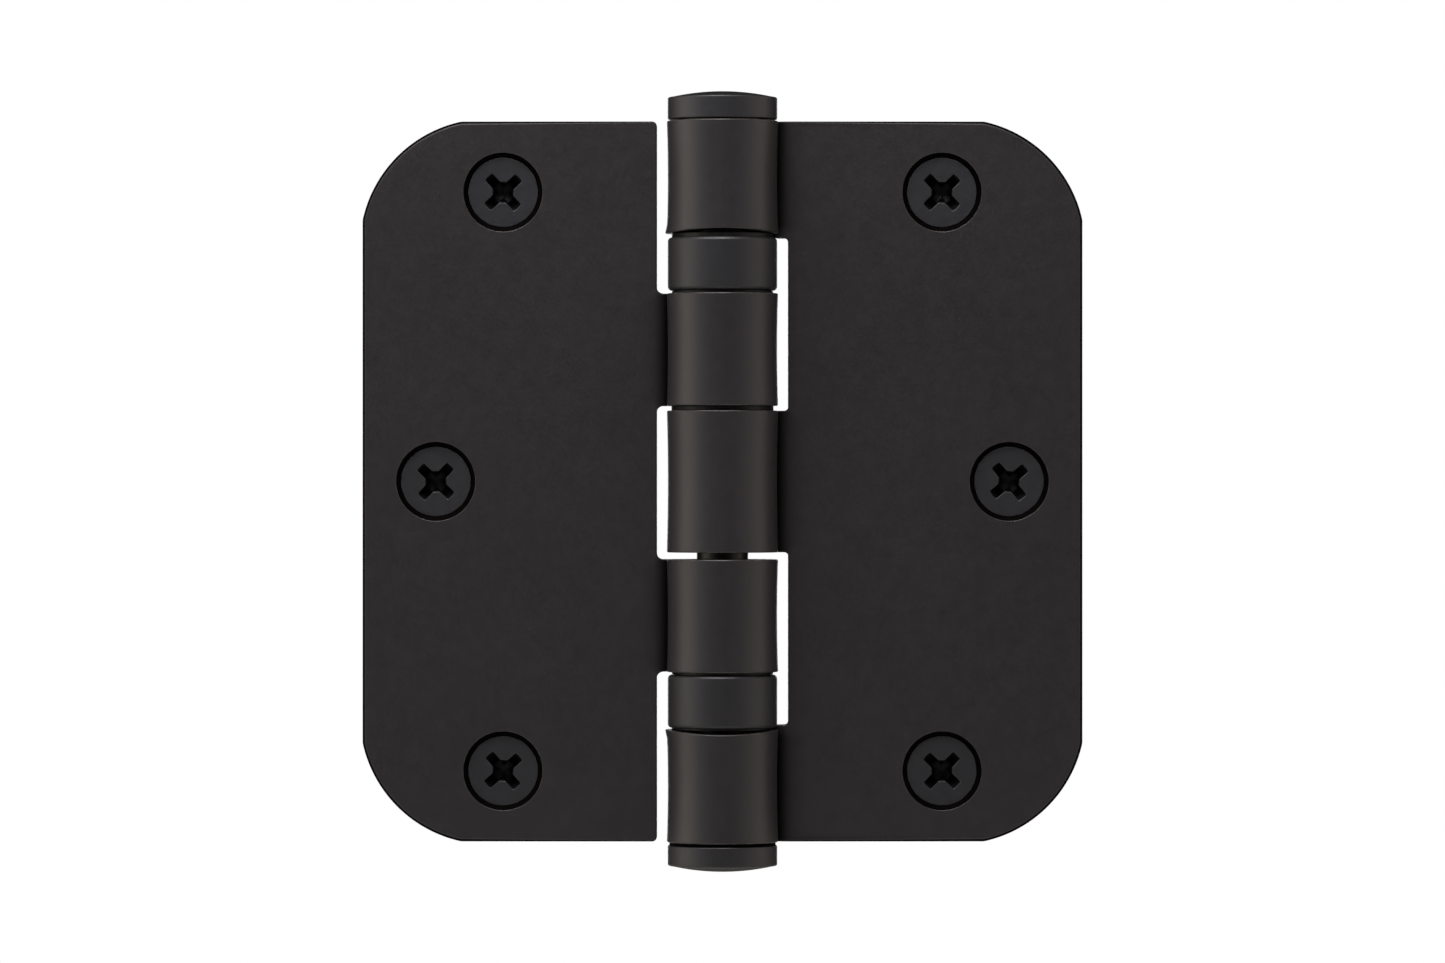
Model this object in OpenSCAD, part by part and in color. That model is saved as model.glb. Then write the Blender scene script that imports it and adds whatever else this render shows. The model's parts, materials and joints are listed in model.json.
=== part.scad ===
// Five-knuckle ball-bearing butt hinge with round corners and button tips, lying open flat.
// Z runs up the pin, X points across the jamb leaf, and the screw heads face -Y.
// The origin is on the pin's axis at half height. Lengths are in millimetres.

/* [Leaves] */
// Height of both leaves
leaf_h = 88.9; // [88:0.1:92]
// Width of the hinge when it is open flat
open_w = 88.9; // [86:0.1:102]
// Thickness of the sheet that the leaves are cut from
leaf_t = 3.1; // [2.4:0.1:3.3]
// Gap between the two leaves when the hinge is closed
closed_gap = 1.6; // [1:0.1:2]
// Radius of the four outer corners
corner_r = 15.875; // [6:0.125:16]
// How far each corner arc's centre is pushed out, which leaves a slight angle where the arc meets the edge
corner_push = 0.36; // [0:0.01:0.5]
// Distance from the pin's axis to a leaf's edge beside the other leaf's knuckles
notch_x = 8.1; // [7.8:0.1:8.6]
// Fillet in the jamb leaf's inner corners beside the knuckles
jamb_fillet = 0.45; // [0.3:0.05:0.9]
// Fillet in the door leaf's inner corners beside the knuckles
door_fillet = 0.75; // [0.3:0.05:0.9]

/* [Barrel] */
// Outer diameter of the rolled knuckles
knuckle_d = 13.75; // [13.5:0.05:13.9]
// Height of the middle knuckle
middle_knuckle_h = 17.48; // [17:0.02:17.6]
// Height of each of the door leaf's two knuckles
door_knuckle_h = 13.88; // [13.5:0.02:14]
// Gap between the middle knuckle and each of its neighbours, with the door leaf half way in its play
middle_gap = 0.72; // [0.6:0.01:0.8]
// Gap between a bearing's shell and the knuckles beside it
bearing_gap = 0.33; // [0.3:0.01:0.4]
// How far the door leaf's knuckles and the bearings hang below the middle of their play
door_drop = 0.14; // [0:0.01:0.16]
// Outer diameter of the thin washer on the middle knuckle
washer_d = 12.6; // [10:0.1:13]
// Radius of the fillet that blends a knuckle into the back of its leaf
swage_r = 5.5; // [4:0.1:6]
// Angle above the X axis at which the roll ends, just short of the leaf's inner face
roll_end = 4.5; // [3:0.5:5]

/* [Pin and tips] */
// Diameter of the pin
pin_d = 6.35; // [6.3:0.01:6.37]
// Diameter of the two button tips
cap_d = 13.5; // [13:0.1:13.7]
// Height of a tip's straight wall
cap_wall_h = 2.7; // [2.5:0.1:3.5]
// Height of a tip's shallow dome
cap_dome_h = 0.77; // [0.4:0.01:1.2]

/* [Bearings] */
// Height of a bearing's outer shell
shell_h = 6.55; // [6.3:0.05:7]
// Outer diameter of the shell
shell_d = 13.5; // [13.4:0.05:13.6]
// Wall of the shell
shell_wall = 0.65; // [0.5:0.05:0.7]
// Diameter of a bearing ball
ball_d = 1.984; // [1.9:0.002:2]
// Balls in each bearing
ball_count = 10; // [6:1:10]

/* [Screws] */
// Distance from the pin's axis to the two end screws
end_screw_x = 27.1; // [26:0.1:28]
// Distance from the pin's axis to the middle screw
middle_screw_x = 35.4; // [33:0.1:36]
// Distance between the two end screws of a leaf
screw_spacing = 71.44; // [68:0.02:73]
// Length of a screw
screw_len = 25.4; // [19:0.1:26]
// Diameter of the plain shank
shank_d = 4.3; // [4.2:0.05:4.35]
// Diameter of the screw's head
head_d = 8.6; // [8.4:0.1:9.2]
// Diameter of the countersink's mouth
sink_d = 9.83; // [9.6:0.01:10.2]
// Diameter of the hole through the leaf
hole_d = 5.2; // [5:0.1:5.4]
// Turn of the crosses in the jamb leaf's screws from upright: top, middle, bottom
jamb_turns = [44, 40, 46]; // [0:1:90]
// Turn of the crosses in the door leaf's screws from upright: top, middle, bottom
door_turns = [47, 43, 49]; // [0:1:90]

/* [Hidden] */
$fn = 96;

leaf_w = open_w / 2;
leaf_front = closed_gap / 2;
leaf_back = leaf_front + leaf_t;
knuckle_r = knuckle_d / 2;
bore_r = knuckle_r - leaf_t;
pin_r = pin_d / 2;

// Smallest clearance between two pieces that touch, and how far a cut or a joined body reaches past a face
hair = 0.02;
spare = 1;

// Heights of the barrel's pieces, counted from the middle up. The lower half is the mirror image, and then
// the door leaf's knuckles and the bearings hang by door_drop.
middle_top = middle_knuckle_h / 2;
door_knuckle_bottom = middle_top + middle_gap;
door_knuckle_top = door_knuckle_bottom + door_knuckle_h;
shell_bottom = door_knuckle_top + bearing_gap;
shell_top = shell_bottom + shell_h;
end_knuckle_bottom = shell_top + bearing_gap;
end_knuckle_top = leaf_h / 2;

// The leaf beside an end knuckle reaches a little past the knuckle towards the bearing.
skirt_drop = 0.5;
skirt_x = 7.3;

// The fillet's circle touches the knuckle from outside and the leaf's back face.
swage_y = leaf_back + swage_r;
swage_x = sqrt(pow(knuckle_r + swage_r, 2) - pow(swage_y, 2));

// Countersink and screw. Both cones have the same angle, so the head sits where its rim fits.
sink_half_angle = 41;
sink_slope = tan(sink_half_angle);
seat_gap = 0.04;
head_r = head_d / 2;
head_land = 0.05;
head_sink = (sink_d - head_d) / 2 / sink_slope - head_land - seat_gap;
shank_r = shank_d / 2;
head_h = head_land + (head_r - shank_r) / sink_slope;
thread_pitch = 1.814;
thread_depth = 0.65;
thread_rib = 0.9;
thread_from = 9;
thread_runout = 0.6;
tip_h = 5;

// Cross recess, at the head's flat and at its floor
recess_h = 2.3;
recess_r = 2.6;
recess_floor_r = 1.15;
wing_w = 1.22;
core_r = 1.3;
core_floor_r = 0.7;

// Pin's head, tapped end and the tips
pin_bottom = -39;
pin_head_r = 5.6;
pin_head_h = 1.2;
pin_chamfer = 0.5;
head_gap = 0.1;
tap_r = 1.6;
tap_depth = 7;
stud_gap = 0.5;
stud_slack = 0.05;
cap_r = cap_d / 2;
cap_line = 0.18;
plug_line = 0.4;
plug_wall_h = cap_wall_h + cap_line - plug_line;
plug_neck_r = 6.55;
plug_stem_h = 4.8;
cap_sphere_r = (pow(cap_r, 2) + pow(cap_dome_h, 2)) / (2 * cap_dome_h);

// Bearings, measured at the upper one
shell_r = shell_d / 2;
shell_bore_r = shell_r - shell_wall;
shell_lip_h = 0.6;
lip_gap = 0.1;
shell_edge_r = 0.5;
race_mid = (door_knuckle_top + end_knuckle_bottom) / 2;
race_bore_r = pin_r + 0.075;
race_neck_r = bore_r - hair;
race_neck_h = 3.5;
race_shoulder_r = 5;
race_collar_r = 6.25;
collar_gap = 0.08;
race_flange_r = shell_bore_r - 0.15;
race_face = 0.7;
ball_r = ball_d / 2;
ball_circle_r = 4.675;
groove_r = ball_r + 0.04;
cage_h = 0.8;
cage_bore_r = 3.35;
washer_bore_r = pin_r + 0.1;
washer_h = middle_gap - door_drop - hair;

// Screw heights from top to bottom, with their distances from the pin's axis
SCREWS = [
    [end_screw_x, screw_spacing / 2],
    [middle_screw_x, 0],
    [end_screw_x, -screw_spacing / 2]
];

BLACK = [0.16, 0.15, 0.15];
BARREL_BLACK = [0.2, 0.2, 0.21];
SCREW_BLACK = [0.17, 0.17, 0.19];
STEEL = [0.3, 0.3, 0.31];
BALL_STEEL = [0.8, 0.8, 0.82];
BRASS = [0.72, 0.57, 0.27];

// What lies outside a quarter circle of radius r in the corner of a square, for rounding an outer corner.
module corner_waste(r) {
    difference() {
        square(r + spare);
        circle(r);
    }
}

// What fills an inner corner, leaving a quarter circle of radius r.
module corner_fill(r) {
    difference() {
        translate([-spare, -spare]) square(r + spare);
        translate([r, r]) circle(r);
    }
}

// One leaf's outline seen from the front, with the pin's axis at x = 0. edges lists each inner corner
// beside a knuckle as [height, 1 where the notch is above the corner or -1 where it is below].
module leaf_outline(edges, skirts, fillet) {
    reach = corner_r - corner_push;
    difference() {
        translate([notch_x, -leaf_h / 2]) square([leaf_w - notch_x, leaf_h]);
        for (side = [-1, 1]) scale([1, side])
            translate([leaf_w - reach, leaf_h / 2 - reach]) corner_waste(corner_r);
    }
    for (skirt = skirts)
        translate([skirt_x, skirt[0]]) square([notch_x - skirt_x + spare, skirt[1] - skirt[0]]);
    for (edge = edges) translate([notch_x, edge[0]]) scale([-1, edge[1]]) corner_fill(fillet);
}

// Section across a knuckle: the sheet bends back off the leaf about the swage's centre, runs round the back
// and the far side of the pin, and ends just short of the leaf's inner face, which leaves a narrow crevice.
module knuckle_section() {
    difference() {
        union() {
            circle(knuckle_r);
            translate([0, leaf_front]) square([notch_x + spare, leaf_t]);
            difference() {
                polygon([[0, 0], [swage_x, leaf_back - spare], [swage_x, swage_y]]);
                translate([swage_x, swage_y]) circle(swage_r);
            }
        }
        circle(bore_r);
        difference() {
            polygon([[0, 0], [swage_x, swage_x * tan(roll_end)], [swage_x, swage_y]]);
            translate([swage_x, swage_y]) circle(swage_r + leaf_t);
        }
    }
}

// Countersunk hole along +Y, starting from the leaf's inner face.
module screw_hole() {
    slant_h = (sink_d - hole_d) / 2 / sink_slope;
    rotate([-90, 0, 0]) {
        translate([0, 0, -spare]) cylinder(h = leaf_t + 2 * spare, d = hole_d);
        cylinder(h = slant_h, d1 = sink_d, d2 = hole_d);
        translate([0, 0, -spare]) cylinder(h = spare, d = sink_d);
    }
}

module leaf(knuckles, edges, skirts, fillet) {
    difference() {
        union() {
            translate([0, leaf_back, 0]) rotate([90, 0, 0]) linear_extrude(leaf_t)
                leaf_outline(edges, skirts, fillet);
            for (span = knuckles)
                translate([0, 0, span[0]]) linear_extrude(span[1] - span[0]) knuckle_section();
        }
        for (place = SCREWS) translate([place[0], leaf_front, place[1]]) screw_hole();
    }
}

// The jamb leaf has the end knuckles and the middle one.
module right_leaf() {
    skirt_edge = end_knuckle_bottom - skirt_drop;
    color(BLACK) leaf(
        knuckles = [
            [end_knuckle_bottom, end_knuckle_top],
            [-middle_top, middle_top],
            [-end_knuckle_top, -end_knuckle_bottom]
        ],
        edges = [[skirt_edge, -1], [middle_top, 1], [-middle_top, -1], [-skirt_edge, 1]],
        skirts = [
            [skirt_edge, end_knuckle_bottom + spare],
            [-end_knuckle_bottom - spare, -skirt_edge]
        ],
        fillet = jamb_fillet
    );
}

// The door leaf has the two knuckles between them.
module left_leaf() {
    upper = [door_knuckle_bottom - door_drop, door_knuckle_top - door_drop];
    lower = [-door_knuckle_top - door_drop, -door_knuckle_bottom - door_drop];
    color(BLACK) mirror([1, 0, 0]) leaf(
        knuckles = [upper, lower],
        edges = [[upper[1], 1], [upper[0], -1], [lower[1], 1], [lower[0], -1]],
        skirts = [],
        fillet = door_fillet
    );
}

// The pin hangs from its head on the top knuckle. Its head is tapped for the tip.
module hinge_pin() {
    head_bottom = end_knuckle_top + hair;
    color(BARREL_BLACK) difference() {
        union() {
            translate([0, 0, pin_bottom + pin_chamfer])
                cylinder(h = head_bottom + spare - pin_bottom - pin_chamfer, r = pin_r);
            translate([0, 0, pin_bottom]) cylinder(h = pin_chamfer, r1 = pin_r - pin_chamfer, r2 = pin_r);
            translate([0, 0, head_bottom]) cylinder(h = pin_head_h, r = pin_head_r);
        }
        translate([0, 0, head_bottom + pin_head_h - tap_depth]) cylinder(h = tap_depth + spare, r = tap_r);
    }
}

// A button: a straight wall under a shallow dome.
module button(wall_h) {
    rotate_extrude() intersection() {
        square([cap_r, wall_h + cap_dome_h]);
        translate([0, wall_h + cap_dome_h - cap_sphere_r]) circle(cap_sphere_r, $fn = 360);
    }
}

// The top tip fits over the pin's head and screws into it.
module top_cap() {
    recess_top = pin_head_h + 2 * hair - cap_line;
    stud_h = tap_depth - stud_gap;
    color(BARREL_BLACK) translate([0, 0, end_knuckle_top + cap_line]) {
        difference() {
            button(cap_wall_h);
            translate([0, 0, -spare]) cylinder(h = recess_top + spare, r = pin_head_r + head_gap);
        }
        translate([0, 0, recess_top - stud_h]) cylinder(h = stud_h + spare, r = tap_r - stud_slack);
    }
}

// The bottom tip has a stem that is pressed into the bottom knuckle.
module bottom_cap() {
    color(BARREL_BLACK) mirror([0, 0, 1]) translate([0, 0, end_knuckle_top]) {
        translate([0, 0, plug_line]) button(plug_wall_h);
        cylinder(h = plug_line + spare, r = plug_neck_r);
        translate([0, 0, -plug_stem_h]) cylinder(h = plug_stem_h + spare, r = bore_r - hair);
    }
}

// Thin shell, open towards the door leaf's knuckle and crimped in over the jamb race's flange.
module bearing_shell() {
    color(BARREL_BLACK) rotate_extrude() difference() {
        translate([0, shell_bottom]) square([shell_r, shell_h]);
        translate([0, shell_bottom - spare]) square([shell_bore_r, shell_h - shell_lip_h + spare]);
        translate([0, shell_top - spare]) square([race_shoulder_r + lip_gap, 2 * spare]);
        translate([shell_r - shell_edge_r, shell_top - shell_edge_r]) corner_waste(shell_edge_r);
        translate([shell_r - shell_edge_r, shell_bottom + shell_edge_r]) scale([1, -1])
            corner_waste(shell_edge_r);
    }
}

// A race: a neck in the knuckle's bore, a collar beside the knuckle and a grooved flange for the balls.
// It is drawn with its ball face at z = 0 looking down and its neck up. waist_r is its radius between the
// flange and the collar, which fills the gap between the shell and the knuckle.
module race(flange_h, waist_r, collar_z, neck_z) {
    color(STEEL) difference() {
        rotate_extrude() polygon([
            [race_bore_r, 0], [race_flange_r, 0], [race_flange_r, flange_h], [waist_r, flange_h],
            [waist_r, collar_z], [race_collar_r, collar_z], [race_collar_r, neck_z],
            [race_neck_r, neck_z], [race_neck_r, neck_z + race_neck_h], [race_bore_r, neck_z + race_neck_h]
        ]);
        rotate_extrude() translate([ball_circle_r, -race_face]) circle(groove_r);
    }
}

// The shell is crimped over this race's flange. play is how far the bearing hangs away from its knuckle,
// which the collar makes up for.
module jamb_race(play) {
    face_z = race_mid + race_face;
    translate([0, 0, face_z]) race(
        flange_h = shell_top - shell_lip_h - hair - face_z,
        waist_r = race_shoulder_r,
        collar_z = shell_top + hair - face_z,
        neck_z = end_knuckle_bottom + play - hair - face_z
    );
}

module door_race() {
    face_z = race_mid - race_face;
    collar_z = face_z - shell_bottom + collar_gap;
    translate([0, 0, face_z]) mirror([0, 0, 1]) race(
        flange_h = collar_z - hair,
        waist_r = race_flange_r - hair,
        collar_z = collar_z,
        neck_z = face_z - door_knuckle_top
    );
}

module ball_cage() {
    color(BRASS) translate([0, 0, race_mid - cage_h / 2]) difference() {
        cylinder(h = cage_h, r = race_flange_r);
        translate([0, 0, -spare]) cylinder(h = cage_h + 2 * spare, r = cage_bore_r);
        for (i = [0 : ball_count - 1]) rotate(i * 360 / ball_count) translate([ball_circle_r, 0, -spare])
            cylinder(h = cage_h + 2 * spare, r = groove_r);
    }
}

// Thin washer on top of the middle knuckle.
module middle_washer() {
    color(STEEL) translate([0, 0, middle_top]) difference() {
        cylinder(h = washer_h, d = washer_d);
        translate([0, 0, -spare]) cylinder(h = washer_h + 2 * spare, r = washer_bore_r);
    }
}

module balls() {
    color(BALL_STEEL) for (i = [0 : ball_count - 1])
        rotate(i * 360 / ball_count) translate([ball_circle_r, 0, race_mid]) sphere(ball_r);
}

// The lower bearing is the upper one turned over. Both hang a little.
module upper() {
    translate([0, 0, -door_drop]) children();
}

module lower() {
    translate([0, 0, -door_drop]) mirror([0, 0, 1]) children();
}

// Radius of the threaded part's core and of its crest at a height from the head's flat.
function taper(z) = min(1, max(0, (screw_len - z) / tip_h));
function thread_root(z) = (shank_r - thread_depth) * taper(z);
function thread_crest(z) = thread_root(z) + (thread_depth - hair) * sqrt(taper(z));

// Countersunk wood screw along +Z, with the flat of its head at z = 0.
module screw_blank() {
    last = floor((screw_len - thread_rib - thread_from) / thread_pitch);
    rotate_extrude() polygon(concat(
        [
            [0, 0], [head_r, 0], [head_r, head_land],
            [shank_r, head_h], [shank_r, thread_from - thread_runout]
        ],
        [
            for (i = [0 : last])
                let (z = thread_from + i * thread_pitch, crest_z = z + thread_rib / 2)
                let (end_z = z + thread_rib)
                each [[thread_root(z), z], [thread_crest(crest_z), crest_z], [thread_root(end_z), end_z]]
        ],
        [[0, screw_len]]
    ));
}

// Cone with radius r at the head's flat and floor_r at the recess's floor, starting a little above the flat.
module recess_cone(r, floor_r) {
    translate([0, 0, -spare])
        cylinder(h = recess_h + spare, r1 = r + spare * (r - floor_r) / recess_h, r2 = floor_r);
}

// Cross recess: two blades cut off by a cone that narrows with depth, and a blunt core.
module cross_recess() {
    blade_w = 2 * (recess_r + spare);
    intersection() {
        union() for (turn = [0, 90]) rotate(turn)
            translate([-blade_w / 2, -wing_w / 2, -spare]) cube([blade_w, wing_w, recess_h + spare]);
        recess_cone(recess_r, recess_floor_r);
    }
    recess_cone(core_r, core_floor_r);
}

// Screw number i of the list, 0 to 2 from top to bottom, in the jamb leaf's half.
module screw(i, turn) {
    color(SCREW_BLACK) translate([SCREWS[i][0], leaf_front + head_sink, SCREWS[i][1]]) rotate([-90, 0, 0])
        difference() {
            screw_blank();
            rotate(turn) cross_recess();
        }
}

module door_screw(i, turn) {
    mirror([1, 0, 0]) screw(i, turn);
}

right_leaf();
left_leaf();
hinge_pin();
top_cap();
bottom_cap();
middle_washer();
upper() bearing_shell();  // upper_bearing_shell
upper() jamb_race(door_drop);  // upper_jamb_race
upper() door_race();  // upper_door_race
upper() ball_cage();  // upper_ball_cage
upper() balls();  // upper_balls
lower() bearing_shell();  // lower_bearing_shell
lower() jamb_race(-door_drop);  // lower_jamb_race
lower() door_race();  // lower_door_race
lower() ball_cage();  // lower_ball_cage
lower() balls();  // lower_balls
screw(0, jamb_turns[0]);  // jamb_screw_top
screw(1, jamb_turns[1]);  // jamb_screw_middle
screw(2, jamb_turns[2]);  // jamb_screw_bottom
door_screw(0, door_turns[0]);  // door_screw_top
door_screw(1, door_turns[1]);  // door_screw_middle
door_screw(2, door_turns[2]);  // door_screw_bottom
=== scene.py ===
"""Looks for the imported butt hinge, in the frame of its CAD model.

Shapes are worked out in millimetres and written to meshes in metres. X runs across the jamb leaf, Z up the
pin, and the screw heads face -Y. Every piece that shows is a mesh made here from outlines, sections and
turned profiles. The parts inside the barrel keep their CAD shape.
"""

import json
import math

import bpy
import numpy as np
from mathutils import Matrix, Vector, geometry


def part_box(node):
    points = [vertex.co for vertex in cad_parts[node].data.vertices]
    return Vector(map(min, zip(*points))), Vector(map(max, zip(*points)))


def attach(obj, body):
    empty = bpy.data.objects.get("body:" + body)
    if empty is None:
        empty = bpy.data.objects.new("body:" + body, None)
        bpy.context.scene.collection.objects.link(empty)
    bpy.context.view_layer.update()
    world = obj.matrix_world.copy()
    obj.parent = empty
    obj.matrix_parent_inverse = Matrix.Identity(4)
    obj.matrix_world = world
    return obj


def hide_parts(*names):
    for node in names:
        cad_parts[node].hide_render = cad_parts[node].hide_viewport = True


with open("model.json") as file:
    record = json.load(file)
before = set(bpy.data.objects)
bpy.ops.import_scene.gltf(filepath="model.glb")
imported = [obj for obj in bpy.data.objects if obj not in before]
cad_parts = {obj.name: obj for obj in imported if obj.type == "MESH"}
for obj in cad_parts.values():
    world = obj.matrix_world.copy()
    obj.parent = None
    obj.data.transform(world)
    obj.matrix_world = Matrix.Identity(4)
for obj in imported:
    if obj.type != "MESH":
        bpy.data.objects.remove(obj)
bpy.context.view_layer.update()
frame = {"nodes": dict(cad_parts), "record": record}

MM = 0.001
BODY_OF = {
    node: body
    for body, nodes in frame["record"]["behaviour"]["bodies"].items()
    for node in nodes
}


def span(node):
    """Lowest and highest corner of a CAD node in millimetres."""
    low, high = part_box(node)
    return np.array(low) / MM, np.array(high) / MM


# ---------------------------------------------------------------- sizes, in millimetres

_, jamb_high = span("right_leaf")
shell_low, shell_high = span("upper_bearing_shell")
_, low_shell_high = span("lower_bearing_shell")
pin_low, pin_high = span("hinge_pin")
cap_low, cap_high = span("top_cap")
plug_low, plug_high = span("bottom_cap")

LEAF_W = jamb_high[0]       # from the pin's axis to a leaf's far edge
HALF_H = jamb_high[2]
KNUCKLE_R = jamb_high[1]
LEAF_T = 3.1                # thickness of the sheet
LEAF_FRONT = 0.8            # Y of the leaves' front faces
NOTCH_X = 8.1               # a leaf's inner edge, between its knuckles
CORNER_R = 15.875
CORNER_PUSH = 0.36          # how far the corner arcs are pushed outwards, so they meet the edges in a kink
MIDDLE_TOP = 8.74           # top of the jamb leaf's middle knuckle
MIDDLE_GAP = 0.72           # above and below the middle knuckle, before the door leaf's drop
BEARING_GAP = 0.33          # from a bearing shell to the door leaf's knuckle beside it
DOOR_DROP = 0.14            # how far the door leaf hangs below the middle
SKIRT_DROP = 0.5            # how much longer an end knuckle is at its root
SWAGE_R = 5.5               # inside radius of the bend between a leaf and its knuckles
ROLL_END = 4.5              # degrees the rolled sheet's end lies past +X
BORE_R = KNUCKLE_R - LEAF_T

# lowest and highest Z of the knuckles beside the bearings
UPPER_DOOR_KNUCKLE = (MIDDLE_TOP + MIDDLE_GAP - DOOR_DROP, shell_low[2] - BEARING_GAP)
LOWER_DOOR_KNUCKLE = (low_shell_high[2] + BEARING_GAP, -MIDDLE_TOP - MIDDLE_GAP - DOOR_DROP)
END_KNUCKLE = (shell_high[2] + BEARING_GAP + DOOR_DROP, HALF_H)
JAMB_FILLET = 0.45          # inner corner between the notch and a knuckle's root
DOOR_FILLET = 0.75

SINK_R = 4.915              # countersink, at the leaf's front face
HOLE_R = 2.6
SINK_SLOPE = math.tan(math.radians(41))


# ---------------------------------------------------------------- meshes

class Skin:
    """A surface built from rows of points, each with its own normal and a weight for edge wear and painted
    shade.

    The weight is 0 on plain surfaces, up to 1 on worn edges and down to -1 where shade is painted dark into
    hollows, creases and shaded edges.
    """

    def __init__(self):
        self.points, self.normals, self.wear, self.faces = [], [], [], []

    def row(self, points, normals, wear):
        """Adds a row of points and returns their numbers."""
        first = len(self.points)
        self.points.extend(np.asarray(points, float))
        self.normals.extend(np.asarray(normals, float))
        self.wear.extend(np.broadcast_to(wear, len(points)))
        return list(range(first, len(self.points)))

    def band(self, lower, upper):
        """Quads between two closed rows of the same length."""
        count = len(lower)
        for i in range(count):
            j = (i + 1) % count
            self.faces.append((lower[i], lower[j], upper[j], upper[i]))

    def fan(self, row, centre, flip=False):
        """Triangles from a closed row to one point."""
        count = len(row)
        for i in range(count):
            j = (i + 1) % count
            self.faces.append((row[j], row[i], centre) if flip else (row[i], row[j], centre))

    def mirrored(self, axis):
        """The same surface mirrored along an axis: 0 for X, 2 for Z."""
        other = Skin()
        flip = np.ones(3)
        flip[axis] = -1.0
        other.points = [p * flip for p in self.points]
        other.normals = [n * flip for n in self.normals]
        other.wear = list(self.wear)
        other.faces = [tuple(reversed(face)) for face in self.faces]
        return other


def piece(name, node, skin, material):
    """Makes the mesh object that stands for a CAD node and rides on its body."""
    mesh = bpy.data.meshes.new(name)
    mesh.from_pydata(np.array(skin.points) * MM, [], skin.faces)
    mesh.polygons.foreach_set("use_smooth", [True] * len(mesh.polygons))
    normals = np.array(skin.normals)
    normals /= np.linalg.norm(normals, axis=1, keepdims=True)
    mesh.normals_split_custom_set_from_vertices(normals)
    # edge wear above 0, painted shade below 0
    wear = mesh.attributes.new("edge_wear", "FLOAT", "POINT")
    wear.data.foreach_set("value", np.array(skin.wear, np.float32))
    mesh.materials.append(material)
    mesh.update()
    obj = bpy.data.objects.new(name, mesh)
    bpy.context.scene.collection.objects.link(obj)
    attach(obj, BODY_OF[node])
    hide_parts(node)


# ---------------------------------------------------------------- lines and sections

ON_AXIS = 1e-6              # a smaller radius counts as a point on the axis
# weight that paints a tip's dome darker as painted shade
DOME_SHADE = -0.55


def arc_points(centre, radius, start, end, step):
    """Points and outward normals on an arc, in degrees. A clockwise arc is the inside of a hollow."""
    count = max(2, int(math.ceil(abs(end - start) / step)) + 1)
    angles = np.radians(np.linspace(start, end, count))
    ray = np.stack([np.cos(angles), np.sin(angles)], axis=1)
    return np.array(centre) + radius * ray, ray if end > start else -ray


def line_points(start, end, stops=()):
    """Points along a straight line and the normals on its right. stops are shares of its length."""
    start, end = np.array(start, float), np.array(end, float)
    along = (end - start) / np.linalg.norm(end - start)
    shares = np.array([0.0, *stops, 1.0])
    points = start + np.outer(shares, end - start)
    return points, np.tile([along[1], -along[0]], (len(points), 1))


def rotated(vector, angle):
    """A flat vector turned anticlockwise by an angle in radians."""
    cos, sin = math.cos(angle), math.sin(angle)
    return np.array([cos * vector[0] - sin * vector[1], sin * vector[0] + cos * vector[1]])


def rounded(corners, closed=False, steps=5):
    """A section line through corners (a, b, radius), each rounded by an arc of its radius.

    Returns points, normals on the line's right, and edge weights that are highest on the outer arcs.
    """
    corners = [np.array(c, float) for c in corners]
    count = len(corners)
    points, normals, wear = [], [], []
    for i, corner in enumerate(corners):
        here, radius = corner[:2], corner[2]
        if not closed and i in (0, count - 1):
            other = corners[1 if i == 0 else count - 2][:2]
            along = (other - here) if i == 0 else (here - other)
            along /= np.linalg.norm(along)
            points.append(here)
            normals.append([along[1], -along[0]])
            wear.append(0.0)
            continue
        into = here - corners[i - 1][:2]
        out = corners[(i + 1) % count][:2] - here
        into /= np.linalg.norm(into)
        out /= np.linalg.norm(out)
        turn = math.atan2(into[0] * out[1] - into[1] * out[0], float(into @ out))
        reach = radius * abs(math.tan(turn / 2))
        side = np.array([-into[1], into[0]]) * math.copysign(1.0, turn)
        centre = here - into * reach + side * radius
        for k in range(steps + 1):
            share = k / steps
            along = rotated(into, turn * share)
            points.append(centre + rotated(-side * radius, turn * share))
            normals.append([along[1], -along[0]])
            wear.append(math.sin(math.pi * share) if turn > 0 else 0.0)
    return np.array(points), np.array(normals), np.array(wear)


def dome_line(rim, top, count=14):
    """Shallow dome from the rim point (radius, height) up to the axis."""
    rise = top - rim[1]
    ball = (rim[0] ** 2 + rise ** 2) / (2 * rise)
    angles = np.linspace(math.asin(rim[0] / ball), 0.0, count)
    ray = np.stack([np.sin(angles), np.cos(angles)], axis=1)
    return np.array([0.0, top - ball]) + ball * ray, ray


def turned(corners, closed=False, sides=128, dome=None):
    """A piece turned about Z from a section (radius, height, corner radius) that runs up its outer side.

    dome, as (rim point, top), puts a dome in place of the section's last point, painted darker as painted
    shade.
    """
    points, normals, wear = rounded(corners, closed)
    if dome is not None:
        cap_points, cap_normals = dome_line(*dome)
        points = np.vstack([points[:-1], cap_points])
        normals = np.vstack([normals[:-1], cap_normals])
        # the dome is painted darker with painted shade
        wear = np.concatenate([wear[:-1], np.full(len(cap_points), DOME_SHADE)])
    skin = Skin()
    angles = np.arange(sides) * 2 * math.pi / sides
    rows = []
    for (radius, height), (out, up), weight in zip(points, normals, wear):
        if radius < ON_AXIS:
            rows.append(skin.row([(0, 0, height)], [(0, 0, math.copysign(1.0, up))], weight))
            continue
        ring = [radius * np.cos(angles), radius * np.sin(angles), np.full(sides, height)]
        ray = [out * np.cos(angles), out * np.sin(angles), np.full(sides, up)]
        rows.append(skin.row(np.stack(ring, axis=1), np.stack(ray, axis=1), weight))
    pairs = list(zip(rows, rows[1:])) + ([(rows[-1], rows[0])] if closed else [])
    for lower, upper in pairs:
        if len(lower) == 1:
            skin.fan(upper, lower[0], flip=True)
        elif len(upper) == 1:
            skin.fan(lower, upper[0])
        else:
            skin.band(lower, upper)
    return skin


# ---------------------------------------------------------------- leaves

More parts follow.
